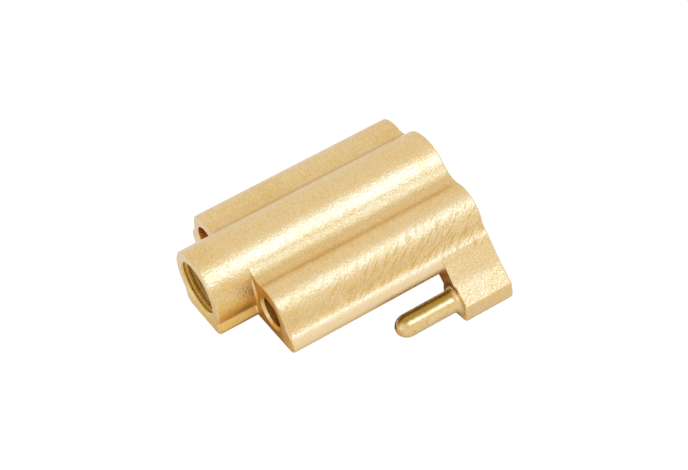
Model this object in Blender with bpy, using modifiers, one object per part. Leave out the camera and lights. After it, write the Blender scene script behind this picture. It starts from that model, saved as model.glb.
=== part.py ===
"""Brass block with three lengthwise bores and a locating pin on a side lug.

The block runs along Y. A threaded tube runs through its middle and stands
proud of the front, on a foot. A plain bore lies in a lobe on each side of
the tube. At the rear, on the +X side, a lug reaches below the base and
holds a turned pin that points forwards.

Frame: X across the three bores, Y from the threaded mouth to the rear
face, Z up. The origin is the middle of the flat base.
"""

import math

import bmesh
import bpy
from mathutils import Matrix, Vector

MM = 0.001

# Block, lengthwise.
LENGTH = 24.6 * MM
NOSE_LENGTH = 4.0 * MM
FRONT_Y = -LENGTH / 2
REAR_Y = LENGTH / 2
SHOULDER_Y = FRONT_Y + NOSE_LENGTH

# Centre tube and the foot under it.
TUBE_Z = 3.7 * MM
TUBE_RADIUS = 3.7 * MM
THREAD_RADIUS = 2.48 * MM
TUBE_MOUTH_RADIUS = 2.75 * MM
FOOT_HALF_WIDTH = 3.1 * MM
FOOT_CORNER_RADIUS = 0.8 * MM

# Side lobes and their plain bores.
LOBE_X = 5.72 * MM
LOBE_Z = TUBE_Z - 1.13 * MM
LOBE_RADIUS = 2.78 * MM
GUIDE_RADIUS = 1.45 * MM
GUIDE_MOUTH_RADIUS = 1.7 * MM

# Blends of the block's outline, and its sloping flanks.
VALLEY_RADIUS = 2.0 * MM
FLANK_BLEND_RADIUS = 1.6 * MM
RIDGE_RADIUS = 1.0 * MM
RIDGE_TURN = math.radians(15)
FLANK_FOOT_X = 10.5 * MM
FLANK_ANGLE = math.radians(55)
FLANK_DOWN = Vector((math.cos(FLANK_ANGLE), -math.sin(FLANK_ANGLE)))
FLANK_NORMAL = Vector((math.sin(FLANK_ANGLE), math.cos(FLANK_ANGLE)))
RIDGE_NORMAL = Matrix.Rotation(RIDGE_TURN, 2) @ FLANK_NORMAL
BASE_CORNER_RADIUS = 1.15 * MM

# Lug at the rear, which carries the pin.
LUG_THICKNESS = 5.0 * MM
LUG_FRONT_Y = REAR_Y - LUG_THICKNESS
LUG_OUTER_X = 12.3 * MM
LUG_INNER_X = 8.78 * MM
LUG_BOTTOM_Z = -3.95 * MM
LUG_BEND_Z = -0.3 * MM
LUG_BEND_RADIUS = 6.0 * MM
LUG_SLOPE = math.radians(45)
LUG_EDGE_RADIUS = 0.3 * MM
LUG_CORNER_RADIUS = 0.9 * MM
LUG_ARM_Z = -1.58 * MM
LUG_ARM_FOOT_X = 7.42 * MM
LUG_ROOT = Vector((0, 0.6 * MM))

# Pin, turned about an axis parallel to Y, and the hole that it is pressed in.
PIN_X = 10.45 * MM
PIN_Z = -2.1 * MM
PIN_RADIUS = 1.08 * MM
PIN_REACH = 6.25 * MM
PIN_NOSE_LENGTH = 1.2 * MM
PIN_ROOT_FILLET = 0.7 * MM
PIN_SPIGOT_RADIUS = 0.75 * MM
PIN_CLEARANCE = 0.1 * MM

# Fineness of round shapes, and allowances for the cuts and joins.
ARC_STEP = math.radians(7.5)
ROUND_SIDES = 48
OVERRUN = 1.0 * MM
MOUTH_OVERRUN = 0.2 * MM
SAME_POINT = 1e-7


def clear_scene():
    for obj in list(bpy.data.objects):
        bpy.data.objects.remove(obj, do_unlink=True)


def new_collection(name):
    collection = bpy.data.collections.new(name)
    bpy.context.scene.collection.children.link(collection)
    return collection


def brass(name, colour, roughness):
    material = bpy.data.materials.new(name)
    material.use_nodes = True
    shader = material.node_tree.nodes["Principled BSDF"]
    shader.inputs["Base Color"].default_value = (*colour, 1.0)
    shader.inputs["Metallic"].default_value = 1.0
    shader.inputs["Roughness"].default_value = roughness
    return material


def arc(centre, start, end):
    """Points of the shorter arc about a centre, from one point to another."""
    first = start - centre
    turn = -first.angle_signed(end - centre)
    steps = max(2, math.ceil(abs(turn) / ARC_STEP))
    return [centre + Matrix.Rotation(turn * i / steps, 2) @ first for i in range(steps + 1)]


def rounded(before, corner, after, radius):
    """Points of the arc that rounds the corner between two straight edges."""
    back = (before - corner).normalized()
    ahead = (after - corner).normalized()
    half = back.angle(ahead) / 2
    centre = corner + (back + ahead).normalized() * radius / math.sin(half)
    setback = radius / math.tan(half)
    return arc(centre, corner + back * setback, corner + ahead * setback)


def block_arcs():
    """Arcs of the block's outline for x > 0, from the tube's top to the base."""
    tube = Vector((0, TUBE_Z))
    lobe = Vector((LOBE_X, LOBE_Z))
    flank_foot = Vector((FLANK_FOOT_X, 0))

    # The valley's circle touches the tube's and the lobe's from above.
    between = lobe - tube
    from_tube = TUBE_RADIUS + VALLEY_RADIUS
    from_lobe = LOBE_RADIUS + VALLEY_RADIUS
    along = (from_tube**2 - from_lobe**2 + between.length_squared) / (2 * between.length)
    ahead = between.normalized()
    upward = Vector((-ahead.y, ahead.x))
    valley = tube + ahead * along + upward * math.sqrt(from_tube**2 - along**2)

    # A hollow blend leads from the lobe to a low ridge, which turns on to the flank's line.
    from_lobe = LOBE_RADIUS + FLANK_BLEND_RADIUS
    from_ridge = RIDGE_RADIUS + FLANK_BLEND_RADIUS
    off_flank = from_ridge * math.cos(RIDGE_TURN) - RIDGE_RADIUS
    reach = (flank_foot - lobe).dot(FLANK_NORMAL) + off_flank
    blend = lobe + FLANK_NORMAL * reach + FLANK_DOWN * math.sqrt(from_lobe**2 - reach**2)
    ridge = blend - RIDGE_NORMAL * from_ridge

    top = tube + Vector((0, TUBE_RADIUS))
    tube_end = tube + (valley - tube).normalized() * TUBE_RADIUS
    lobe_start = lobe + (valley - lobe).normalized() * LOBE_RADIUS
    lobe_end = lobe + (blend - lobe).normalized() * LOBE_RADIUS
    ridge_start = blend - RIDGE_NORMAL * FLANK_BLEND_RADIUS
    flank_top = ridge + FLANK_NORMAL * RIDGE_RADIUS
    return {
        "tube": arc(tube, top, tube_end),
        "valley": arc(valley, tube_end, lobe_start),
        "lobe": arc(lobe, lobe_start, lobe_end),
        "blend": arc(blend, lobe_end, ridge_start),
        "ridge": arc(ridge, ridge_start, flank_top),
        "corner": rounded(flank_top, flank_foot, Vector((0, 0)), BASE_CORNER_RADIUS),
    }


def chained(*pieces):
    """Pieces of an outline as one list, without the points that they share."""
    points = []
    for point in (p for piece in pieces for p in piece):
        if not points or (point - points[-1]).length > SAME_POINT:
            points.append(point)
    return points


def mirrored(half):
    """A whole outline from the half that starts on the middle line."""
    return half + [Vector((-p.x, p.y)) for p in reversed(half[1:])]


def block_outline():
    return mirrored(chained(*block_arcs().values()))


def nose_outline():
    """The tube's circle, standing on a foot with upright sides."""
    tube = Vector((0, TUBE_Z))
    drop = math.sqrt(TUBE_RADIUS**2 - FOOT_HALF_WIDTH**2)
    meets_foot = tube + Vector((FOOT_HALF_WIDTH, -drop))
    foot = Vector((FOOT_HALF_WIDTH, 0))
    upper = block_arcs()["tube"]
    lower = arc(tube, upper[-1], meets_foot)
    corner = rounded(meets_foot, foot, Vector((0, 0)), FOOT_CORNER_RADIUS)
    return mirrored(chained(upper, lower, corner))


def lug_outline():
    """The flank carried on below the base, round the pin, and back up."""
    start = block_arcs()["corner"][0]
    bend = start + FLANK_DOWN * (LUG_BEND_Z - start.y) / FLANK_DOWN.y
    edge_drop = (LUG_OUTER_X - bend.x) * math.tan(LUG_SLOPE)
    edge = Vector((LUG_OUTER_X, LUG_BEND_Z - edge_drop))
    outer = Vector((LUG_OUTER_X, LUG_BOTTOM_Z))
    inner = Vector((LUG_INNER_X, LUG_BOTTOM_Z))
    waist = Vector((LUG_INNER_X, LUG_ARM_Z))
    arm_foot = Vector((LUG_ARM_FOOT_X, 0))
    return chained(
        [start],
        rounded(start, bend, edge, LUG_BEND_RADIUS),
        rounded(bend, edge, outer, LUG_EDGE_RADIUS),
        rounded(edge, outer, inner, LUG_CORNER_RADIUS),
        rounded(outer, inner, waist, LUG_CORNER_RADIUS),
        rounded(inner, waist, arm_foot, LUG_CORNER_RADIUS),
        [arm_foot, arm_foot + LUG_ROOT, start - FLANK_NORMAL * LUG_ROOT.y],
    )


def prism(name, outline, y_start, y_end, collection):
    """A closed mesh: an XZ outline drawn out along Y."""
    curve = bpy.data.curves.new(name, "CURVE")
    curve.dimensions = "2D"
    curve.fill_mode = "BOTH"
    curve.extrude = (y_end - y_start) / 2
    spline = curve.splines.new("POLY")
    spline.points.add(len(outline) - 1)
    spline.use_cyclic_u = True
    for point, place in zip(spline.points, outline):
        point.co = (place.x, place.y, 0, 1)
    guide = bpy.data.objects.new(name + "_outline", curve)
    collection.objects.link(guide)
    middle = Matrix.Translation((0, (y_start + y_end) / 2, 0))
    guide.matrix_world = middle @ Matrix.Rotation(math.pi / 2, 4, "X")
    graph = bpy.context.evaluated_depsgraph_get()
    mesh = bpy.data.meshes.new_from_object(guide.evaluated_get(graph))
    shape = bmesh.new()
    shape.from_mesh(mesh)
    bmesh.ops.remove_doubles(shape, verts=shape.verts, dist=SAME_POINT)
    bmesh.ops.recalc_face_normals(shape, faces=shape.faces)
    shape.to_mesh(mesh)
    shape.free()
    solid = bpy.data.objects.new(name, mesh)
    collection.objects.link(solid)
    solid.matrix_world = guide.matrix_world
    bpy.data.objects.remove(guide, do_unlink=True)
    return solid


def turned(name, profile, x, front_y, z, collection):
    """A round solid about a line along Y, from (radius, height) points.

    Heights are forwards of front_y, and the profile runs from the highest
    point on the axis down its outer side.
    """
    mesh = bpy.data.meshes.new(name)
    points = [(p.x, 0, p.y) for p in profile]
    mesh.from_pydata(points, [(i, i + 1) for i in range(len(points) - 1)], [])
    solid = bpy.data.objects.new(name, mesh)
    collection.objects.link(solid)
    solid.location = (x, front_y, z)
    solid.rotation_euler = (math.pi / 2, 0, 0)
    screw = solid.modifiers.new("turned", "SCREW")
    screw.axis = "Z"
    screw.steps = ROUND_SIDES
    screw.render_steps = ROUND_SIDES
    screw.use_merge_vertices = True
    screw.merge_threshold = SAME_POINT
    return solid


def combine(target, operation, others):
    for other in others:
        other.hide_render = True
        other.display_type = "WIRE"
        step = target.modifiers.new(f"{operation.lower()} {other.name}", "BOOLEAN")
        step.operation = operation
        step.solver = "EXACT"
        step.object = other


def smooth(mesh):
    mesh.shade_smooth()
    mesh.set_sharp_from_angle(angle=math.radians(30))


def bore_cutter(name, x, z, radius, mouth_radius, front_y, collection):
    """A cutter for a bore right through, with a 45 degree chamfer in front."""
    depth = REAR_Y - front_y + OVERRUN
    profile = [
        Vector((0, MOUTH_OVERRUN)),
        Vector((mouth_radius + MOUTH_OVERRUN, MOUTH_OVERRUN)),
        Vector((radius, radius - mouth_radius)),
        Vector((radius, -depth)),
        Vector((0, -depth)),
    ]
    return turned(name, profile, x, front_y, z, collection)


def make_block(parts, helpers):
    block = prism("bore_block", block_outline(), SHOULDER_Y, REAR_Y, parts)
    nose = prism("nose", nose_outline(), FRONT_Y, SHOULDER_Y + OVERRUN, helpers)
    lug = prism("lug", lug_outline(), LUG_FRONT_Y, REAR_Y, helpers)
    combine(block, "UNION", [nose, lug])
    hole = PIN_SPIGOT_RADIUS + PIN_CLEARANCE
    cutters = [
        bore_cutter(name, x, z, radius, mouth_radius, front_y, helpers)
        for name, x, z, radius, mouth_radius, front_y in (
            ("threaded_bore", 0, TUBE_Z, THREAD_RADIUS, TUBE_MOUTH_RADIUS, FRONT_Y),
            ("left_bore", -LOBE_X, LOBE_Z, GUIDE_RADIUS, GUIDE_MOUTH_RADIUS, SHOULDER_Y),
            ("right_bore", LOBE_X, LOBE_Z, GUIDE_RADIUS, GUIDE_MOUTH_RADIUS, SHOULDER_Y),
            ("pin_hole", PIN_X, PIN_Z, hole, hole, LUG_FRONT_Y),
        )
    ]
    combine(block, "DIFFERENCE", cutters)
    block.data.materials.append(brass("satin_brass", (0.80, 0.62, 0.34), 0.38))
    smooth(block.data)
    return block


def pin_profile():
    """Half of the pin's section: radius, then height above the lug's face."""
    base_z = PIN_CLEARANCE
    straight_top = PIN_REACH - PIN_NOSE_LENGTH
    nose = [
        Vector((PIN_RADIUS * math.sin(a), straight_top + PIN_NOSE_LENGTH * math.cos(a)))
        for a in (math.pi / 2 * i / 8 for i in range(9))
    ]
    fillet_centre = Vector((PIN_RADIUS + PIN_ROOT_FILLET, base_z + PIN_ROOT_FILLET))
    fillet = arc(
        fillet_centre,
        fillet_centre - Vector((PIN_ROOT_FILLET, 0)),
        fillet_centre - Vector((0, PIN_ROOT_FILLET)),
    )
    spigot = [
        Vector((PIN_SPIGOT_RADIUS, base_z)),
        Vector((PIN_SPIGOT_RADIUS, -LUG_THICKNESS)),
        Vector((0, -LUG_THICKNESS)),
    ]
    return chained(nose, fillet, spigot)


def make_pin(parts):
    pin = turned("locating_pin", pin_profile(), PIN_X, LUG_FRONT_Y, PIN_Z, parts)
    pin.data.materials.append(brass("polished_brass", (0.84, 0.66, 0.33), 0.22))


def main():
    clear_scene()
    parts = new_collection("bore_block_with_pin")
    helpers = new_collection("helpers")
    make_block(parts, helpers)
    make_pin(parts)


main()
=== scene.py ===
"""Looks for the brass bore block and its locating pin.

Both CAD solids are replaced by finer meshes of the same shape. The block's mesh is made
of sheets, which run along Y between outlines in XZ, and of flat plates that close them.
It adds what the solids leave out: rounded and broken edges, the small fillets in the
inside corners, the thread and the chamfers of the bores. Lengths are in millimetres
until a mesh is made.
"""

import math

import bmesh
import bpy
import numpy as np
from mathutils import Matrix, Vector


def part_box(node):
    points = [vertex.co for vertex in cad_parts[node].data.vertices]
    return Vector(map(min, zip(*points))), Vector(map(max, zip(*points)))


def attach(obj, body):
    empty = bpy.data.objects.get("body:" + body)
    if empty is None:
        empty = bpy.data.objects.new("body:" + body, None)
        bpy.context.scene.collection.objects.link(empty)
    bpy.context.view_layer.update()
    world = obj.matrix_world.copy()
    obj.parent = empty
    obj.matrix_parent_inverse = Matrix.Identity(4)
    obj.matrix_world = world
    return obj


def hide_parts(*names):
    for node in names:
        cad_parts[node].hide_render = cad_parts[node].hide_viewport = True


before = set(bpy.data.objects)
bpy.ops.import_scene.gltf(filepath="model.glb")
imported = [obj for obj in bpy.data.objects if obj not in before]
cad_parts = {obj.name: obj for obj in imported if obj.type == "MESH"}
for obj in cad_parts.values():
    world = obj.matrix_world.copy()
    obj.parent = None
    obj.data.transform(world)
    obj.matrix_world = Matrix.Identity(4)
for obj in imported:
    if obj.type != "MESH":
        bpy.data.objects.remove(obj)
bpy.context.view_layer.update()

MM = 0.001
WELD = 0.0008  # points nearer to each other than this become one


def in_mm(corner):
    return np.array(corner) / MM


BLOCK_LOW, BLOCK_HIGH = (in_mm(corner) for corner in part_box("bore_block"))
PIN_LOW, PIN_HIGH = (in_mm(corner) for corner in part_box("locating_pin"))

# Planes across the block.
NOSE_LENGTH = 4.0
LUG_LENGTH = 5.0
FRONT_Y = BLOCK_LOW[1]
REAR_Y = BLOCK_HIGH[1]
SHOULDER_Y = FRONT_Y + NOSE_LENGTH
LUG_FRONT_Y = REAR_Y - LUG_LENGTH

# Centre tube, its foot and the side lobes, as in the CAD solid. A turn is the direction of
# an outward normal in XZ, in degrees from +X towards +Z.
TUBE_RADIUS = BLOCK_HIGH[2] / 2
TUBE = np.array((0, TUBE_RADIUS))
FOOT_X = 3.1
FOOT_CORNER = 0.8
FOOT_NOTCH = 0.25
LOBE_X = 5.72
LOBE_DROP = 1.13
LOBE = np.array((LOBE_X, TUBE_RADIUS - LOBE_DROP))
LOBE_RADIUS = 2.78
VALLEY_RADIUS = 2.0
BLEND_RADIUS = 1.6
RIDGE_RADIUS = 1.0
RIDGE_TURN = 15
FLANK_TURN = 35
FLANK_FOOT = np.array((10.5, 0))
BASE_CORNER = 1.15

# Lug.
LUG_OUTER_X = BLOCK_HIGH[0]
LUG_INNER_X = 8.78
LUG_BOTTOM_Z = BLOCK_LOW[2]
LUG_BEND_Z = -0.3
LUG_BEND_RADIUS = 6.0
LUG_BEND_LEAD = 0.6
LUG_SLOPE_TURN = 45
LUG_EDGE = 0.3
LUG_CORNER = 0.9
LUG_ARM_Z = -1.58
LUG_ARM_FOOT_X = 7.42
LUG_ARM_FILLET = 0.8

# Broken edges and inside fillets. The shoulder's edge is broken least on top and most at
# the sides. Those that start from nothing reach full size over the taper.
SHOULDER_EDGE = 0.12
RIGHT_SIDE_EDGE = 0.26
LEFT_SIDE_EDGE = 0.45
EDGE_TOP_Z = 5.2
EDGE_SIDE_Z = 3.6
EDGE_LOW_Z = 0.7
SHOULDER_FILLET = 0.28
NOSE_EDGE = 0.16
REAR_EDGE = 0.12
LUG_FRONT_EDGE = 0.12
LUG_FRONT_FILLET = 0.2
TAPER = 1.1

# Bores, with the sink of each side bore's front mouth. The thread's major and minor are
# radii, and its root is a share of the pitch.
THREAD_PITCH = 0.5
THREAD_ANGLE = 60
THREAD_MAJOR = 2.74
THREAD_MINOR = 2.48
THREAD_ROOT = 0.125
MOUTH_RADIUS = 2.75
GUIDE_RADIUS = 1.45
GUIDE_MOUTH = 1.7
GUIDE_REAR_MOUTH = 1.6
RIGHT_SINK = 0.25
LEFT_SINK = 1.5
PIN_HOLE_RADIUS = 0.77

# Pin, and its axis in XZ.
PIN = (PIN_LOW[[0, 2]] + PIN_HIGH[[0, 2]]) / 2
PIN_RADIUS = 1.08
PIN_TIP_Y = PIN_LOW[1]
PIN_DOME = 1.25
PIN_FLARE = 0.66
PIN_FLARE_RIM = 0.03
PIN_SPIGOT = 0.75
PIN_TAIL_CHAMFER = 0.12
PIN_TAIL_DEPTH = 0.05
PIN_SEAT_GAP = 0.005

# How finely the meshes are divided. An arc step is in degrees.
ARC_STEP = 3.0
BORE_SIDES = 120
PIN_SIDES = 96
TOP_POINTS = 20
VALLEY_POINTS = 24
FLANK_POINTS = 6
BASE_POINTS = 8
FOOT_POINTS = 13
NOSE_NOTCH_POINTS = 7
NOSE_SIDE_POINTS = 5
NOSE_ROUND_POINTS = 10
EDGE_ROWS = 9
FILLET_ROWS = 6
DOME_ROWS = 25
FLARE_ROWS = 13
THREAD_MOUTH_ROWS = 16
THREAD_MOUTH_TURNS = 2

# The angles, in degrees, from which an edge stays crisp.
BLOCK_SHARP_FROM = 38
PIN_SHARP_FROM = 50


# Outlines. Each stretch of one is points and outward normals in XZ, run clockwise.


def unit(degrees):
    radians = np.radians(degrees)
    return np.stack((np.cos(radians), np.sin(radians)), axis=-1)


def turn_of(vector):
    return math.degrees(math.atan2(vector[1], vector[0]))


def bow(centre, radius, start, end, count=None):
    """An arc, whose outward normal turns down where it bulges and up where it is hollow."""
    if count is None:
        count = max(2, math.ceil(abs(end - start) / ARC_STEP)) + 1
    normals = unit(np.linspace(start, end, count))
    side = -1 if end > start else 1
    return centre + side * radius * normals, normals


def run(start, end, count=2):
    """A straight stretch."""
    share = np.linspace(0, 1, count)[:, None]
    along = (end - start) / np.linalg.norm(end - start)
    normal = np.array((-along[1], along[0]))
    return start + share * (end - start), np.repeat(normal[None], count, axis=0)


def chain(*stretches):
    """Stretches as one."""
    points = np.concatenate([points for points, _ in stretches])
    normals = np.concatenate([normals for _, normals in stretches])
    return points, normals


def inset(stretch, depth):
    points, normals = stretch
    return points - normals * np.reshape(depth, (-1, 1))


def on_base(x):
    return np.array((x, 0))


def crossing(start, start_turn, end, end_turn):
    """Where a line with one normal meets a line with another."""
    first, second = unit(start_turn), unit(end_turn)
    return np.linalg.solve(np.stack((first, second)), np.array((first @ start, second @ end)))


def corner(before_turn, after_turn, point, radius):
    """The arc that rounds a corner between two straight stretches, given their normals."""
    half = math.radians(after_turn - before_turn) / 2
    middle = unit((before_turn + after_turn) / 2)
    side = 1 if after_turn < before_turn else -1
    centre = point - side * middle * radius / math.cos(half)
    return bow(centre, radius, before_turn, after_turn)


# The chain of circles that makes the block's side, each touching the next.
BETWEEN = LOBE - TUBE
SPAN = np.linalg.norm(BETWEEN)
FROM_TUBE = TUBE_RADIUS + VALLEY_RADIUS
FROM_LOBE = LOBE_RADIUS + VALLEY_RADIUS
ALONG = (FROM_TUBE**2 - FROM_LOBE**2 + SPAN**2) / (2 * SPAN)
ACROSS = np.array((-BETWEEN[1], BETWEEN[0])) / SPAN
VALLEY = TUBE + BETWEEN / SPAN * ALONG + ACROSS * math.sqrt(FROM_TUBE**2 - ALONG**2)
FLANK_NORMAL = unit(FLANK_TURN)
FLANK_DOWN = unit(FLANK_TURN - 90)
RIDGE_NORMAL = unit(FLANK_TURN + RIDGE_TURN)
FROM_RIDGE = RIDGE_RADIUS + BLEND_RADIUS
FROM_BLEND = LOBE_RADIUS + BLEND_RADIUS
OFF_FLANK = FROM_RIDGE * math.cos(math.radians(RIDGE_TURN)) - RIDGE_RADIUS
REACH = (FLANK_FOOT - LOBE) @ FLANK_NORMAL + OFF_FLANK
BLEND = LOBE + FLANK_NORMAL * REACH + FLANK_DOWN * math.sqrt(FROM_BLEND**2 - REACH**2)
RIDGE = BLEND - RIDGE_NORMAL * FROM_RIDGE

TUBE_END = turn_of(VALLEY - TUBE)
VALLEY_END = turn_of(VALLEY - LOBE)
LOBE_END = turn_of(BLEND - LOBE)
RIDGE_START = FLANK_TURN + RIDGE_TURN
BASE_BOW = corner(FLANK_TURN, -90, FLANK_FOOT, BASE_CORNER)
BASE_ROUND_X = BASE_BOW[0][-1][0]
FOOT_ROUND = np.array((FOOT_X - FOOT_CORNER, FOOT_CORNER))


def valley_start(depth):
    """The normal's turn where the valley, inset by a depth, leaves the tube's own circle."""
    reach = VALLEY_RADIUS + depth
    cosine = (FROM_TUBE**2 + reach**2 - TUBE_RADIUS**2) / (2 * FROM_TUBE * reach)
    return TUBE_END + math.degrees(math.acos(min(1.0, cosine)))


def tube_top(depth=0.0):
    """The tube's circle from its top to where the block's inset outline leaves it."""
    leaves = VALLEY - (VALLEY_RADIUS + depth) * unit(valley_start(depth))
    return bow(TUBE, TUBE_RADIUS, 90, turn_of(leaves - TUBE), TOP_POINTS)


def block_side(depth=0.0):
    """Valley, lobe, blend and ridge, down to the flank. The outline is inset by a depth."""
    return chain(
        bow(VALLEY, VALLEY_RADIUS, valley_start(depth), VALLEY_END, VALLEY_POINTS),
        bow(LOBE, LOBE_RADIUS, VALLEY_END, LOBE_END),
        bow(BLEND, BLEND_RADIUS, LOBE_END, RIDGE_START),
        bow(RIDGE, RIDGE_RADIUS, RIDGE_START, FLANK_TURN),
        (BASE_BOW[0][:1], BASE_BOW[1][:1]),
    )


def lug_side():
    """From the flank round the lug to the base."""
    start = BASE_BOW[0][0]
    bend = crossing(start, FLANK_TURN, np.array((0, LUG_BEND_Z)), 90)
    edge = crossing(bend, LUG_SLOPE_TURN, np.array((LUG_OUTER_X, 0)), 0)
    waist = np.array((LUG_INNER_X, LUG_ARM_Z))
    arm_foot = on_base(LUG_ARM_FOOT_X)
    arm_turn = turn_of(np.array((waist[1] - arm_foot[1], arm_foot[0] - waist[0])))
    outer = np.array((LUG_OUTER_X, LUG_BOTTOM_Z))
    inner = np.array((LUG_INNER_X, LUG_BOTTOM_Z))
    return chain(
        run(start, bend - FLANK_DOWN * LUG_BEND_LEAD, FLANK_POINTS),
        corner(FLANK_TURN, LUG_SLOPE_TURN, bend, LUG_BEND_RADIUS),
        corner(LUG_SLOPE_TURN, 0, edge, LUG_EDGE),
        corner(0, -90, outer, LUG_CORNER),
        corner(-90, -180, inner, LUG_CORNER),
        corner(-180, arm_turn, waist, LUG_CORNER),
        corner(arm_turn, -90, arm_foot, LUG_ARM_FILLET),
    )


LUG_SIDE = lug_side()
ARM_END_X = LUG_SIDE[0][-1][0]
BASE_RUN = run(on_base(BASE_ROUND_X), on_base(ARM_END_X), BASE_POINTS)


def foot_meets(depth):
    """The turn on the foot's corner where it meets the block's base, inset by a depth."""
    return math.degrees(math.asin(depth / FOOT_CORNER - 1))


def foot_corner(depth):
    return bow(FOOT_ROUND, FOOT_CORNER, foot_meets(depth), -90, FOOT_POINTS)


def base_out(depth):
    """The base from the corner's arc to the foot, with a point where the lug's arm ends."""
    meets_x = FOOT_ROUND[0] + FOOT_CORNER * unit(foot_meets(depth))[0]
    return chain(BASE_RUN, run(on_base(ARM_END_X), on_base(meets_x)))


def base_in():
    return run(on_base(FOOT_ROUND[0]), on_base(0))


def nose_side():
    """The nose below the shoulder's start on the tube: tube, notch, foot and its corner."""
    leaves = turn_of(tube_top(SHOULDER_EDGE)[0][-1] - TUBE)
    notch_x = FOOT_X + FOOT_NOTCH
    drop = math.sqrt((TUBE_RADIUS + FOOT_NOTCH) ** 2 - notch_x**2)
    notch = TUBE + np.array((notch_x, -drop))
    lower = bow(TUBE, TUBE_RADIUS, leaves, turn_of(notch - TUBE))
    hollow = bow(notch, FOOT_NOTCH, turn_of(notch - TUBE), 0, NOSE_NOTCH_POINTS)
    side_ends = np.array((FOOT_X, notch[1])), np.array((FOOT_X, FOOT_CORNER))
    side = run(*side_ends, NOSE_SIDE_POINTS)
    rounded = bow(FOOT_ROUND, FOOT_CORNER, 0, foot_meets(SHOULDER_EDGE), NOSE_ROUND_POINTS)
    return chain(lower, hollow, side, rounded)


# Meshes. A row is a list of points in XYZ, and a sheet joins rows of equal length.


def row(points, y):
    heights = np.broadcast_to(np.reshape(y, -1), len(points))
    return np.stack((points[:, 0], heights, points[:, 1]), axis=1)


def as_drawn(points):
    return points


def flipped(points):
    """The points mirrored to the other side."""
    return points * np.array((-1, 1, 1))


def sheet(mesh, rows):
    made = [[mesh.verts.new(Vector(point)) for point in points] for points in rows]
    for first, second in zip(made, made[1:]):
        for i in range(len(first) - 1):
            mesh.faces.new((first[i], first[i + 1], second[i + 1], second[i]))


def both_sides(mesh, rows):
    sheet(mesh, rows)
    sheet(mesh, [flipped(points) for points in rows])


def plate(mesh, loops):
    """A flat face across Y, from closed loops: its rim and then its holes."""
    edges = []
    for loop in loops:
        before = np.roll(loop, 1, axis=0)
        keep = [p for p, q in zip(loop, before) if np.linalg.norm(p - q) > WELD]
        verts = [mesh.verts.new(Vector(point)) for point in keep]
        edges += [mesh.edges.new((v, w)) for v, w in zip(verts, verts[1:] + verts[:1])]
    bmesh.ops.triangle_fill(mesh, edges=edges, use_beauty=True, normal=(0, 1, 0))


def ring(centre, radius, y, sides=BORE_SIDES):
    """A closed circle, whose last point is its first."""
    turns = np.linspace(0, 360, sides + 1)
    return row(centre + radius * unit(turns), y)


def placed(name, data):
    """A new object in the scene."""
    thing = bpy.data.objects.new(name, data)
    bpy.context.scene.collection.objects.link(thing)
    return thing


def finished(name, mesh, sharp_from):
    """The object of a mesh in millimetres: welded, with normals outwards and crisp edges."""
    bmesh.ops.remove_doubles(mesh, verts=mesh.verts, dist=WELD)
    bmesh.ops.dissolve_degenerate(mesh, edges=mesh.edges, dist=WELD)
    bmesh.ops.recalc_face_normals(mesh, faces=mesh.faces)
    bmesh.ops.scale(mesh, vec=(MM, MM, MM), verts=mesh.verts)
    data = bpy.data.meshes.new(name)
    mesh.to_mesh(data)
    mesh.free()
    data.shade_smooth()
    data.set_sharp_from_angle(angle=math.radians(sharp_from))
    piece = placed(name, data)
    weighted = piece.modifiers.new("flats_stay_flat", "WEIGHTED_NORMAL")
    weighted.keep_sharp = True
    return piece


def smooth(share):
    share = np.clip(share, 0, 1)
    return share * share * (3 - 2 * share)


def eased(points):
    """0 at both ends of a path, rising smoothly to 1 over the taper."""
    steps = np.linalg.norm(np.diff(points, axis=0), axis=1)
    walked = np.concatenate(((0,), np.cumsum(steps)))
    return smooth(np.minimum(walked, walked[-1] - walked) / TAPER)


def edge_size(points, largest):
    """How far the shoulder's edge is broken at each point of the outline."""
    heights = points[:, 1]
    below_top = smooth((EDGE_TOP_Z - heights) / (EDGE_TOP_Z - EDGE_SIDE_Z))
    above_base = smooth(heights / EDGE_LOW_Z)
    return SHOULDER_EDGE + (largest - SHOULDER_EDGE) * below_top * above_base


def fillet_rows(path, size, y):
    """Rows of a hollow fillet between a wall along Y and a face across Y at y."""
    points, normals = path
    rows = []
    for turn in np.linspace(0, 90, FILLET_ROWS):
        out = size * (1 - math.cos(math.radians(turn)))
        back = size * (1 - math.sin(math.radians(turn)))
        rows.append(row(points + normals * out[:, None], y - back))
    return rows


def nose(mesh, side, fillet):
    """The tube in front of the shoulder, on its foot."""
    top, foot, base = tube_top(SHOULDER_EDGE), foot_corner(SHOULDER_EDGE), base_in()
    for stretch in (top, foot, base):
        both_sides(mesh, [
            row(inset(stretch, NOSE_EDGE), FRONT_Y),
            row(stretch[0], FRONT_Y + NOSE_EDGE),
            row(stretch[0], SHOULDER_Y),
        ])
    both_sides(mesh, [
        row(inset(side, NOSE_EDGE), FRONT_Y),
        row(side[0], FRONT_Y + NOSE_EDGE),
        row(side[0], SHOULDER_Y - fillet),
    ])
    rim = [row(inset(stretch, NOSE_EDGE), FRONT_Y) for stretch in (top, side, foot, base)]
    rim = np.concatenate(rim)
    plate(mesh, [
        np.concatenate((rim, flipped(rim)[::-1])),
        ring(TUBE, MOUTH_RADIUS, FRONT_Y),
    ])


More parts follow.
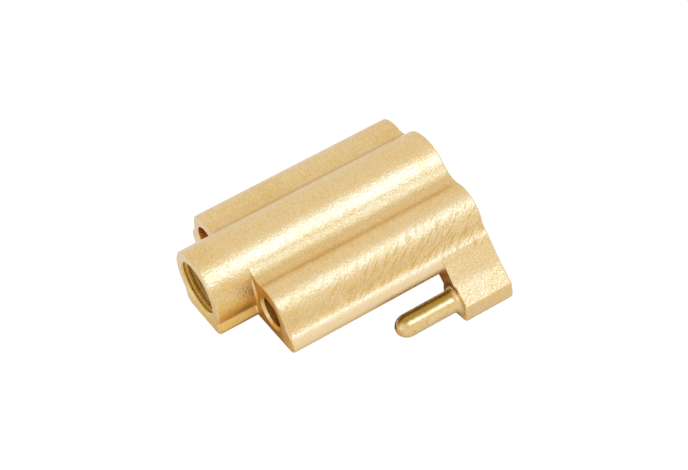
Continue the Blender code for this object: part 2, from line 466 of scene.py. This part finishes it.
def lobe_front(mesh, side, fillet, largest, turned):
    """A lobe's front face, its broken edge, and the fillet between it and the nose."""
    rows = {name: [] for name in ("top", "foot", "middle", "side", "corner", "base")}
    for turn in np.linspace(0, 90, EDGE_ROWS):
        short = 1 - math.sin(math.radians(turn))
        back = 1 - math.cos(math.radians(turn))
        depth = SHOULDER_EDGE * short
        kept = {"top": tube_top(depth), "foot": foot_corner(depth), "middle": base_in()}
        broken = {"side": block_side(depth), "corner": BASE_BOW, "base": base_out(depth)}
        for name, stretch in kept.items():
            rows[name].append(row(stretch[0], SHOULDER_Y + SHOULDER_EDGE * back))
        for name, stretch in broken.items():
            size = edge_size(stretch[0], largest)
            rows[name].append(row(inset(stretch, size * short), SHOULDER_Y + size * back))
    for stretch in rows.values():
        sheet(mesh, [turned(points) for points in stretch])
    sheet(mesh, [turned(points) for points in fillet_rows(side, fillet, SHOULDER_Y)])
    inner = row(side[0] + side[1] * fillet[:, None], SHOULDER_Y)
    outer = np.concatenate([rows[name][0] for name in ("side", "corner", "base")])
    mouth = ring(LOBE, GUIDE_MOUTH, SHOULDER_Y)
    plate(mesh, [turned(np.concatenate((outer, inner[::-1]))), turned(mouth)])


def body(mesh):
    """The block behind the shoulder, the lug, and the rear face."""
    bevel_y = REAR_Y - REAR_EDGE
    base_path = chain(BASE_BOW, BASE_RUN)
    far_base = run(on_base(ARM_END_X), on_base(FOOT_ROUND[0]))
    fillet = LUG_FRONT_FILLET * eased(base_path[0])
    bevel = LUG_FRONT_EDGE * eased(LUG_SIDE[0])
    common = (tube_top(), block_side(), far_base, base_in())

    def start(stretch, largest):
        return row(stretch[0], SHOULDER_Y + edge_size(stretch[0], largest))

    def back_part(stretch):
        return [
            row(stretch[0], LUG_FRONT_Y),
            row(stretch[0], bevel_y),
            row(inset(stretch, REAR_EDGE), REAR_Y),
        ]

    for stretch in common:
        sheet(mesh, [start(stretch, RIGHT_SIDE_EDGE)] + back_part(stretch))
    for stretch in (*common, base_path):
        rows = [start(stretch, LEFT_SIDE_EDGE)] + back_part(stretch)
        sheet(mesh, [flipped(points) for points in rows])
    sheet(mesh, [start(base_path, RIGHT_SIDE_EDGE), row(base_path[0], LUG_FRONT_Y - fillet)])
    sheet(mesh, fillet_rows(base_path, fillet, LUG_FRONT_Y))
    sheet(mesh, [
        row(inset(LUG_SIDE, bevel), LUG_FRONT_Y),
        row(LUG_SIDE[0], LUG_FRONT_Y + bevel),
        row(LUG_SIDE[0], bevel_y),
        row(inset(LUG_SIDE, REAR_EDGE), REAR_Y),
    ])
    inner = row(base_path[0] + base_path[1] * fillet[:, None], LUG_FRONT_Y)
    outer = row(inset(LUG_SIDE, bevel), LUG_FRONT_Y)
    plate(mesh, [np.concatenate((outer, inner[::-1])), ring(PIN, PIN_HOLE_RADIUS, LUG_FRONT_Y)])

    def rear_rim(low_side):
        stretches = (*common[:2], low_side, *common[2:])
        return np.concatenate([row(inset(stretch, REAR_EDGE), REAR_Y) for stretch in stretches])

    plate(mesh, [
        np.concatenate((rear_rim(LUG_SIDE), flipped(rear_rim(base_path))[::-1])),
        ring(TUBE, MOUTH_RADIUS, REAR_Y),
        ring(LOBE, GUIDE_REAR_MOUTH, REAR_Y),
        flipped(ring(LOBE, GUIDE_REAR_MOUTH, REAR_Y)),
        ring(PIN, PIN_HOLE_RADIUS, REAR_Y),
    ])


def plain_bores(mesh):
    """The two side bores, each with a sunk front mouth, and the hole for the pin."""
    for turned, sink in ((as_drawn, RIGHT_SINK), (flipped, LEFT_SINK)):
        rows = [
            ring(LOBE, GUIDE_MOUTH, SHOULDER_Y),
            ring(LOBE, GUIDE_RADIUS, SHOULDER_Y + sink),
            ring(LOBE, GUIDE_RADIUS, REAR_Y - GUIDE_REAR_MOUTH + GUIDE_RADIUS),
            ring(LOBE, GUIDE_REAR_MOUTH, REAR_Y),
        ]
        sheet(mesh, [turned(points) for points in rows])
    sheet(mesh, [ring(PIN, PIN_HOLE_RADIUS, y) for y in (LUG_FRONT_Y, REAR_Y)])


def thread(mesh):
    """An internal thread. Its rows follow the helix, and a cone at each end cuts it off."""
    deep = THREAD_MAJOR - THREAD_MINOR
    flank = deep * math.tan(math.radians(THREAD_ANGLE / 2)) / THREAD_PITCH
    knots = np.cumsum((0, THREAD_ROOT, flank, 1 - THREAD_ROOT - 2 * flank, flank))
    radii = THREAD_MAJOR - deep * np.array((0, 0, 1, 1, 0))
    turns = math.ceil((REAR_Y - FRONT_Y) / THREAD_PITCH)
    share = np.linspace(0, 1, BORE_SIDES + 1)
    rows = []
    for turn in range(-1, turns + 1):
        phases = knots[:-1]
        if turn < THREAD_MOUTH_TURNS or turn >= turns - THREAD_MOUTH_TURNS:
            phases = np.linspace(0, 1, THREAD_MOUTH_ROWS, endpoint=False)
        for phase, radius in zip(phases, np.interp(phases, knots, radii)):
            y = FRONT_Y + (turn + phase + share) * THREAD_PITCH
            y = np.clip(y, FRONT_Y, REAR_Y)
            cone = MOUTH_RADIUS - np.minimum(y - FRONT_Y, REAR_Y - y)
            around = TUBE + np.maximum(radius, cone)[:, None] * unit(share * 360)
            rows.append(row(around, y))
    sheet(mesh, rows)


def make_block():
    mesh = bmesh.new()
    side = nose_side()
    fillet = SHOULDER_FILLET * eased(side[0])
    nose(mesh, side, fillet)
    lobe_front(mesh, side, fillet, RIGHT_SIDE_EDGE, as_drawn)
    lobe_front(mesh, side, fillet, LEFT_SIDE_EDGE, flipped)
    body(mesh)
    plain_bores(mesh)
    thread(mesh)
    return finished("milled_block", mesh, BLOCK_SHARP_FROM)


def make_pin():
    """The pin, turned: dome, shank, flared root, spigot and tail."""
    tip = PIN_TIP_Y + PIN_DOME
    dome = [
        (PIN_RADIUS * math.sin(turn), tip - PIN_DOME * math.cos(turn))
        for turn in np.linspace(0, math.pi / 2, DOME_ROWS)
    ]
    rim_y = LUG_FRONT_Y - PIN_FLARE_RIM
    flare = [
        (
            PIN_RADIUS + PIN_FLARE * (1 - math.cos(turn)),
            rim_y - PIN_FLARE * (1 - math.sin(turn)),
        )
        for turn in np.linspace(0, math.pi / 2, FLARE_ROWS)
    ]
    tail_y = REAR_Y - PIN_TAIL_DEPTH
    spigot = [
        (PIN_RADIUS + PIN_FLARE, LUG_FRONT_Y - PIN_SEAT_GAP),
        (PIN_SPIGOT, LUG_FRONT_Y - PIN_SEAT_GAP),
        (PIN_SPIGOT, tail_y - PIN_TAIL_CHAMFER),
        (PIN_SPIGOT - PIN_TAIL_CHAMFER, tail_y),
        (0, tail_y),
    ]
    mesh = bmesh.new()
    sheet(mesh, [ring(PIN, radius, y, PIN_SIDES) for radius, y in dome + flare + spigot])
    return finished("turned_pin", mesh, PIN_SHARP_FROM)


# Materials.

# Colours of the brass, and the tints that paint shade, highlight and reflection into it.
BRASS = (0.80, 0.575, 0.235, 1)
BRASS_WARM = (0.78, 0.53, 0.19, 1)
BRASS_PALE = (0.83, 0.64, 0.31, 1)
BRASS_DARK = (0.64, 0.40, 0.11, 1)
BRASS_BRIGHT = (0.90, 0.69, 0.34, 1)
SHOULDER_FACE_PAINTED_SHADE = (0.54, 0.25, 0.015, 1)
LUG_FACE_PAINTED_SHADE = (1.0, 0.66, 0.17, 1)
NOSE_PAINTED_REFLECTION = (0.90, 0.57, 0.12, 1)
FOOT_PAINTED_REFLECTION = (1.0, 0.78, 0.30, 1)
THREAD_PAINTED_SHADE = (0.76, 0.50, 0.08, 1)
SIDE_BORE_PAINTED_SHADE = (0.80, 0.44, 0.07, 1)
LEFT_BORE_PAINTED_SHADE = (0.54, 0.22, 0.07, 1)
PIN_TOP_PAINTED_SHADE = (0.36, 0.21, 0.014, 1)

# Areas of the block with their own finish, and areas where shade, highlight and reflection
# are painted. Each pair is where a mask is 0 and where it is 1.
FLANK_X = ((6.6, 7.8), (9.7, 9.2))
# Painted highlight: brighter brass along the flank's ridge and base corner in front of the lug.
RIDGE_HIGHLIGHT_X = ((8.8, 9.2), (9.9, 9.6))
RIDGE_HIGHLIGHT_Y = (LUG_FRONT_Y + 0.5, LUG_FRONT_Y - 0.5)
# Painted shade: the valley between the tube and each lobe is darkened, in two areas.
HOLLOW_SHADE_OUT = ((2.9, 3.6), (5.6, 4.8))
HOLLOW_SHADE_Z = (4.8, 5.3)
VALLEY_SHADE_OUT = ((2.7, 3.2), (4.2, 3.7))
VALLEY_SHADE_Z = (4.8, 5.2)
VALLEY_SHADE_Y = (SHOULDER_Y - 0.3, SHOULDER_Y + 0.6)
LUG_X = (9.2, 9.8)
# Painted reflection: a deeper, more saturated gold on the nose's lower sides, which face the
# shaded floor.
NOSE_LOW_Y = ((FRONT_Y + 0.1, FRONT_Y + 0.3), (SHOULDER_Y + 0.1, SHOULDER_Y - 0.3))
NOSE_LOW_Z = (5.0, 3.4)
# Painted reflection: a paler gold on the nose's foot, which faces the lit floor beside the
# block.
FOOT_Z = (1.9, 1.5)
# Painted shade: dark brown on the faces that look forward at and behind the shoulder.
SHOULDER_FACE_X = ((-2.0, 0.0), (8.0, 6.6))
SHOULDER_FACE_Y = (SHOULDER_Y - 1.0, SHOULDER_Y - 0.4)
# Painted shade: a redder tint on the lug's front face, which reflects the shaded floor under
# the block.
LUG_FACE_Y = (LUG_FRONT_Y - 0.6, LUG_FRONT_Y - 0.3)
# Inside the centre bore: painted shade, a deeper gold, and a duller metal.
THREAD_OFF = (MOUTH_RADIUS - 0.01, MOUTH_RADIUS - 0.06)
# Painted shade: an orange-brown tint on the side bores' walls near their front mouths.
SIDE_BORE_OFF = (GUIDE_RADIUS + 0.05, GUIDE_RADIUS)
# Painted shade: a dark red-brown in the left bore's sunk mouth.
LEFT_BORE_OFF = (GUIDE_MOUTH - 0.01, GUIDE_MOUTH - 0.05)
LEFT_X = (0.0, -1.0)
BORE_SHALLOW_Y = (SHOULDER_Y + 8.0, SHOULDER_Y + 4.0)

# How far a surface's direction leans: towards -Y, away from Y, and upwards.
FACES_FRONT = (-0.6, -0.9)
FACES_ACROSS = (0.8, 0.5)
FACES_UP = (0.72, 0.93)

# Cutter strokes slant in YZ, in degrees, and show more towards the rear.
STROKE_SLANT = 54.5
STROKES_Y = (-9.0, 5.0)
STROKES_AT_FRONT = 0.35

# How metallic the thread is, which is duller than the rest.
THREAD_METAL = 0.55


class Graph:
    """A material's nodes, with short calls for the ones used here."""

    def __init__(self, name):
        self.material = bpy.data.materials.new(name)
        self.material.use_nodes = True
        self.nodes = self.material.node_tree.nodes
        self.links = self.material.node_tree.links
        self.shader = self.nodes["Principled BSDF"]
        self.place = self.nodes.new("ShaderNodeTexCoord").outputs["Object"]

    def add(self, kind, **inputs):
        node = self.nodes.new(kind)
        for name, value in inputs.items():
            self.feed(node.inputs[name], value)
        return node

    def feed(self, socket, value):
        if isinstance(value, bpy.types.NodeSocket):
            self.links.new(value, socket)
        else:
            socket.default_value = value

    def math(self, operation, *values):
        node = self.nodes.new("ShaderNodeMath")
        node.operation = operation
        for socket, value in zip(node.inputs, values):
            self.feed(socket, value)
        return node.outputs[0]

    def product(self, first, *others):
        for other in others:
            first = self.math("MULTIPLY", first, other)
        return first

    def distance(self, across, up):
        """How far a point is from an axis, from its two offsets."""
        squares = [self.math("POWER", offset, 2.0) for offset in (across, up)]
        return self.math("SQRT", self.math("ADD", *squares))

    def stretched(self, scale, slant=0):
        """Object coordinates in millimetres, turned about X, then stretched along each axis."""
        turned = self.add("ShaderNodeMapping", Vector=self.place)
        turned.inputs["Rotation"].default_value = (math.radians(slant), 0, 0)
        node = self.add("ShaderNodeMapping", Vector=turned.outputs[0])
        node.inputs["Scale"].default_value = [factor / MM for factor in scale]
        return node.outputs[0]

    def parts(self):
        """The object coordinates, in millimetres."""
        node = self.nodes.new("ShaderNodeSeparateXYZ")
        self.feed(node.inputs[0], self.stretched((1, 1, 1)))
        return node.outputs

    def facing(self):
        """The parts of the surface's normal."""
        node = self.nodes.new("ShaderNodeSeparateXYZ")
        self.feed(node.inputs[0], self.nodes.new("ShaderNodeNewGeometry").outputs["Normal"])
        return node.outputs

    def noise(self, size, detail=2.0, roughness=0.5, along=(1, 1, 1), slant=0):
        """Noise of a feature size in millimetres, stretched by the factors along each axis."""
        node = self.add(
            "ShaderNodeTexNoise",
            Vector=self.stretched([1 / factor for factor in along], slant),
            Scale=1 / size,
            Detail=detail,
            Roughness=roughness,
        )
        return node.outputs["Fac"]

    def spread(self, value, low, high, to_low=0.0, to_high=1.0):
        """A smooth step between two values. It falls where low is above high."""
        node = self.add("ShaderNodeMapRange", Value=value)
        node.interpolation_type = "SMOOTHSTEP"
        names = ("From Min", "From Max", "To Min", "To Max")
        for name, number in zip(names, (low, high, to_low, to_high)):
            node.inputs[name].default_value = number
        return node.outputs[0]

    def band(self, value, rise, fall):
        """1 between a rising and a falling smooth step."""
        return self.product(self.spread(value, *rise), self.spread(value, *fall))

    def mix(self, share, first, second):
        node = self.nodes.new("ShaderNodeMix")
        node.data_type = "RGBA"
        for socket, value in ((0, share), (6, first), (7, second)):
            self.feed(node.inputs[socket], value)
        return node.outputs[2]

    def layered(self, colour, *layers):
        """A colour under layers, each of a mask, its strength and its own colour."""
        for mask, strength, over in layers:
            colour = self.mix(self.product(mask, strength), colour, over)
        return colour

    def bumped(self, *layers):
        """The normal of bump layers, each of a height and its depth in millimetres."""
        normal = None
        for height, depth in layers:
            node = self.add("ShaderNodeBump", Height=height, Distance=depth * MM, Strength=1.0)
            if normal is not None:
                self.feed(node.inputs["Normal"], normal)
            normal = node.outputs[0]
        return normal

    def finish(self, **inputs):
        for name, value in inputs.items():
            self.feed(self.shader.inputs[name.replace("_", " ")], value)
        return self.material


def block_areas(g):
    """Masks by name: areas with their own finish, and areas of painted shade, highlight and
    reflection.
    """
    x, y, z = g.parts()
    out = g.math("ABSOLUTE", x)
    along_y = g.facing()[1]
    lengthwise = g.spread(g.math("ABSOLUTE", along_y), *FACES_ACROSS)
    nose_low = g.product(g.band(y, *NOSE_LOW_Y), g.spread(z, *NOSE_LOW_Z))
    faces_front = g.spread(along_y, *FACES_FRONT)
    above_lobe = g.math("SUBTRACT", z, LOBE[1])
    off_side = g.distance(g.math("SUBTRACT", out, LOBE[0]), above_lobe)
    shallow = g.spread(y, *BORE_SHALLOW_Y)
    flank = g.product(g.band(x, *FLANK_X), lengthwise)
    return {
        "flank": flank,
        "strokes": g.product(flank, g.spread(y, *STROKES_Y, STROKES_AT_FRONT, 1.0)),
        # Painted highlight along the flank's ridge and base corner in front of the lug.
        "ridge_painted_highlight": g.product(g.band(x, *RIDGE_HIGHLIGHT_X), g.spread(y, *RIDGE_HIGHLIGHT_Y), lengthwise),
        # Painted shade in the valley between the tube and each lobe, in two areas.
        "hollow": g.product(g.band(out, *HOLLOW_SHADE_OUT), g.spread(z, *HOLLOW_SHADE_Z)),
        "valley": g.product(
            g.band(out, *VALLEY_SHADE_OUT), g.spread(z, *VALLEY_SHADE_Z), g.spread(y, *VALLEY_SHADE_Y)
        ),
        "lug": g.spread(x, *LUG_X),
        # Painted reflection on the nose's lower sides.
        "nose_low": nose_low,
        # Painted reflection on the nose's foot.
        "foot": g.product(nose_low, g.spread(z, *FOOT_Z)),
        # Painted shade on the forward-facing faces at the shoulder.
        "shoulder_face_painted_shade": g.product(
            faces_front, g.band(x, *SHOULDER_FACE_X), g.spread(y, *SHOULDER_FACE_Y)
        ),
        # Painted shade on the lug's front face.
        "lug_face_painted_shade": g.product(faces_front, g.spread(y, *LUG_FACE_Y)),
        # Inside the centre bore, for painted shade and the duller metal.
        "thread": g.spread(g.distance(x, g.math("SUBTRACT", z, TUBE_RADIUS)), *THREAD_OFF),
        # Painted shade on the side bores' walls near their front mouths.
        "side_bore_painted_shade": g.product(g.spread(off_side, *SIDE_BORE_OFF), shallow),
        # Painted shade in the left bore's sunk mouth.
        "left_bore": g.product(
            g.spread(off_side, *LEFT_BORE_OFF), g.spread(x, *LEFT_X), shallow
        ),
    }


def block_brass():
    """Satin milled brass with slanting flank strokes, a duller thread, and painted shade and
    highlight.
    """
    g = Graph("satin_milled_brass")
    grain = g.noise(0.15, 3.0, 0.7)
    pits = g.noise(0.30, 2.0, 0.6)
    mottle = g.noise(1.1, 2.0)
    drift = g.noise(5.0, 1.0, along=(1, 2, 1))
    strokes = g.noise(0.20, 2.0, 0.6, along=(6, 1, 6), slant=STROKE_SLANT)
    area = block_areas(g)
    tint = g.layered(
        g.mix(g.spread(drift, 0.38, 0.62), BRASS, BRASS_WARM),
        (g.spread(mottle, 0.45, 0.7), 0.4, BRASS_PALE),
        # Painted shade in the valley between the tube and each lobe.
        (area["hollow"], 0.22, BRASS_DARK),
        (area["valley"], 0.45, BRASS_DARK),
        (g.spread(grain, 0.50, 0.36), 0.45, BRASS_BRIGHT),
        (g.spread(grain, 0.50, 0.64), 0.55, BRASS_DARK),
        (g.product(g.spread(strokes, 0.5, 0.62), area["strokes"]), 0.8, BRASS_DARK),
        # Painted reflection: saturated gold on the nose's lower sides.
        (area["nose_low"], 0.6, NOSE_PAINTED_REFLECTION),
        # Painted reflection: paler gold on the nose's foot.
        (area["foot"], 0.6, FOOT_PAINTED_REFLECTION),
        # Painted highlight along the flank's ridge and base corner.
        (area["ridge_painted_highlight"], 0.75, BRASS_BRIGHT),
        # Painted shade: dark brown on the forward-facing faces at the shoulder.
        (area["shoulder_face_painted_shade"], 0.8, SHOULDER_FACE_PAINTED_SHADE),
        (area["lug_face_painted_shade"], 0.9, LUG_FACE_PAINTED_SHADE),
        # Painted shade: a deeper gold inside the centre bore.
        (area["thread"], 0.8, THREAD_PAINTED_SHADE),
        # Painted shade in the side bores near their mouths.
        (area["side_bore_painted_shade"], 0.8, SIDE_BORE_PAINTED_SHADE),
        # Painted shade: dark red-brown in the left bore's mouth.
        (area["left_bore"], 0.85, LEFT_BORE_PAINTED_SHADE),
    )
    rough = g.spread(grain, 0.3, 0.7, 0.28, 0.38)
    for name, extra in (("flank", 0.10), ("valley", 0.10), ("lug", 0.06)):
        rough = g.math("ADD", rough, g.product(area[name], extra))
    return g.finish(
        Base_Color=tint,
        Metallic=g.spread(area["thread"], 0.0, 1.0, 1.0, THREAD_METAL),
        Roughness=rough,
        Normal=g.bumped(
            (grain, 0.018), (pits, 0.024), (g.product(strokes, area["strokes"]), 0.055)
        ),
    )


def pin_brass():
    """Polished brass with faint turning marks, a little wear, and painted shade on its top."""
    g = Graph("turned_brass")
    grain = g.noise(0.15, 3.0, 0.65)
    wear = g.noise(0.5, 2.0, 0.6)
    rings = g.noise(0.06, 1.0, along=(40, 1, 40))
    drift = g.noise(1.6, 2.0)
    tint = g.layered(
        g.mix(g.spread(drift, 0.35, 0.65), BRASS, BRASS_WARM),
        (g.spread(wear, 0.48, 0.66), 0.55, BRASS_DARK),
        # Painted shade: dark olive on the pin's top, where it faces the block's dark underside.
        (g.spread(g.facing()[2], *FACES_UP), 0.85, PIN_TOP_PAINTED_SHADE),
    )
    fine = g.spread(grain, 0.3, 0.7, 0.20, 0.32)
    worn = g.spread(wear, 0.4, 0.7, 0.0, 0.08)
    return g.finish(
        Base_Color=tint,
        Metallic=1.0,
        Roughness=g.math("ADD", fine, worn),
        Normal=g.bumped((rings, 0.004), (grain, 0.016), (wear, 0.02)),
    )


# The floor is white to the camera, with a share of shadow. What the metal sees of it is
# warm paper, with a painted shadow under the block and painted warm light beside it, out to
# a distance measured in half sizes.
FLOOR_HALF = 900.0
FLOOR_SEGMENTS = 8
FLOOR_WHITE = 1.05
FLOOR_SHADOW = 0.04
SHADOW_GREY = (0.9, 0.9, 0.9, 1)
PAPER = (0.92, 0.90, 0.86, 1)
PAPER_PALE = (0.96, 0.94, 0.90, 1)
PAPER_SPECKLE = 1.5
UNDER_BLOCK_PAINTED_SHADOW = (0.40, 0.17, 0.08, 1)
BESIDE_BLOCK_PAINTED_LIGHT = (0.92, 0.72, 0.32, 1)
UNDER_HALF_X = 9.0
UNDER_HALF_Y = 13.0
UNDER_TO_BESIDE = (0.7, 1.0)
BESIDE_TO_PAPER = (1.05, 1.5)


def floor_paint():
    """White to the camera with a faint shadow; to the metal, paper with painted shadow and
    light.
    """
    g = Graph("white_floor")
    g.nodes.remove(g.shader)
    x, y, _ = g.parts()
    away = g.distance(g.math("DIVIDE", x, UNDER_HALF_X), g.math("DIVIDE", y, UNDER_HALF_Y))
    # Painted shadow under the block and painted warm light beside it, seen only by the metal.
    near = g.mix(g.spread(away, *UNDER_TO_BESIDE), UNDER_BLOCK_PAINTED_SHADOW, BESIDE_BLOCK_PAINTED_LIGHT)
    paper = g.mix(g.noise(PAPER_SPECKLE, 2.0), PAPER, PAPER_PALE)
    paper = g.mix(g.spread(away, *BESIDE_TO_PAPER), near, paper)

    def chosen(share, first, second):
        node = g.nodes.new("ShaderNodeMixShader")
        for socket, value in zip(node.inputs, (share, first, second)):
            g.feed(socket, value)
        return node.outputs[0]

    lit = g.add("ShaderNodeBsdfDiffuse", Color=paper).outputs[0]
    faint = g.add("ShaderNodeBsdfDiffuse", Color=SHADOW_GREY).outputs[0]
    white = g.add("ShaderNodeEmission", Color=(1, 1, 1, 1), Strength=FLOOR_WHITE).outputs[0]
    to_camera = g.nodes.new("ShaderNodeLightPath").outputs["Is Camera Ray"]
    seen = chosen(to_camera, lit, chosen(FLOOR_SHADOW, white, faint))
    g.feed(g.nodes["Material Output"].inputs["Surface"], seen)
    return g.material


def make_floor():
    mesh = bmesh.new()
    bmesh.ops.create_grid(
        mesh, x_segments=FLOOR_SEGMENTS, y_segments=FLOOR_SEGMENTS, size=FLOOR_HALF * MM
    )
    bmesh.ops.translate(mesh, vec=(0, 0, LUG_BOTTOM_Z * MM), verts=mesh.verts)
    data = bpy.data.meshes.new("floor")
    mesh.to_mesh(data)
    mesh.free()
    return placed("floor", data)


# The object and the floor.

block = make_block()
block.data.materials.append(block_brass())
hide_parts("bore_block")
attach(block, "root")

pin = make_pin()
pin.data.materials.append(pin_brass())
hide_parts("locating_pin")
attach(pin, "root")

floor = make_floor()
floor.data.materials.append(floor_paint())

# Light. Each softbox has an azimuth and an elevation in degrees, a size and a radiance.
# Azimuth 0 is towards -Y and 90 towards +X.
SOFTBOXES = {
    "key": (119, 52, (200, 140), 5.5),
    "front": (12, 14, (150, 110), 2.4),
}
SOFTBOX_COLOUR = (0.20, 0.39, 1.0)
SOFTBOX_DISTANCE = 300
WALL_COOL = (0.91, 0.97, 1.14, 1)
WALL_WARM = (1.02, 0.99, 1.0, 1)
CEILING = (0.96, 0.96, 1.1, 1)
WALL_BLEND_X = (-0.6, 0.6)
CEILING_BLEND_Z = (0.0, 0.7)


def direction(azimuth, elevation):
    """Away from the object."""
    a, e = math.radians(azimuth), math.radians(elevation)
    return Vector((math.sin(a) * math.cos(e), -math.cos(a) * math.cos(e), math.sin(e)))


def softbox(name, azimuth, elevation, size, radiance):
    """An area light whose face has this radiance."""
    width, height = size
    light = bpy.data.lights.new(name, "AREA")
    light.shape = "RECTANGLE"
    light.size = width * MM
    light.size_y = height * MM
    light.energy = radiance * math.pi * width * height * MM * MM
    light.color = SOFTBOX_COLOUR
    lamp = placed(name, light)
    back = direction(azimuth, elevation)
    lamp.location = back * SOFTBOX_DISTANCE * MM
    lamp.rotation_mode = "QUATERNION"
    lamp.rotation_quaternion = back.to_track_quat("Z", "Y")


def studio_world():
    """White walls, warmer towards +X and cooler towards -X, under a bluish ceiling."""
    world = bpy.data.worlds.new("studio")
    world.use_nodes = True
    nodes, links = world.node_tree.nodes, world.node_tree.links
    place = nodes.new("ShaderNodeTexCoord")
    parts = nodes.new("ShaderNodeSeparateXYZ")
    links.new(place.outputs["Generated"], parts.inputs[0])

    def blend(axis, ends, first, second):
        share = nodes.new("ShaderNodeMapRange")
        share.interpolation_type = "SMOOTHSTEP"
        share.inputs["From Min"].default_value, share.inputs["From Max"].default_value = ends
        links.new(parts.outputs[axis], share.inputs["Value"])
        node = nodes.new("ShaderNodeMix")
        node.data_type = "RGBA"
        links.new(share.outputs[0], node.inputs[0])
        for socket, value in ((node.inputs[6], first), (node.inputs[7], second)):
            if isinstance(value, tuple):
                socket.default_value = value
            else:
                links.new(value, socket)
        return node.outputs[2]

    walls = blend("X", WALL_BLEND_X, WALL_COOL, WALL_WARM)
    colour = blend("Z", CEILING_BLEND_Z, walls, CEILING)
    links.new(colour, nodes["Background"].inputs["Color"])
    return world


for box_name, setting in SOFTBOXES.items():
    softbox(box_name, *setting)
scene = bpy.context.scene
scene.world = studio_world()
scene.view_settings.view_transform = "Standard"

# Camera, with its clipping in metres.
CAMERA_TARGET = (1.425, 1.942, 2.541)
CAMERA_DISTANCE = 179.465
CAMERA_AZIMUTH = 65.837
CAMERA_ELEVATION = 42.537
CAMERA_ROLL = -11.077
CAMERA_LENS = 104.65
CAMERA_SENSOR = 36.0
CAMERA_CLIP = (0.01, 10.0)

lens = bpy.data.cameras.new("camera")
lens.lens = CAMERA_LENS
lens.sensor_width = CAMERA_SENSOR
lens.clip_start, lens.clip_end = CAMERA_CLIP
camera = placed("camera", lens)
camera_back = direction(CAMERA_AZIMUTH, CAMERA_ELEVATION)
camera.location = (Vector(CAMERA_TARGET) + camera_back * CAMERA_DISTANCE) * MM
camera.rotation_mode = "QUATERNION"
level = camera_back.to_track_quat("Z", "Y")
roll = Matrix.Rotation(math.radians(CAMERA_ROLL), 3, "Z").to_quaternion()
camera.rotation_quaternion = level @ roll
scene.camera = camera
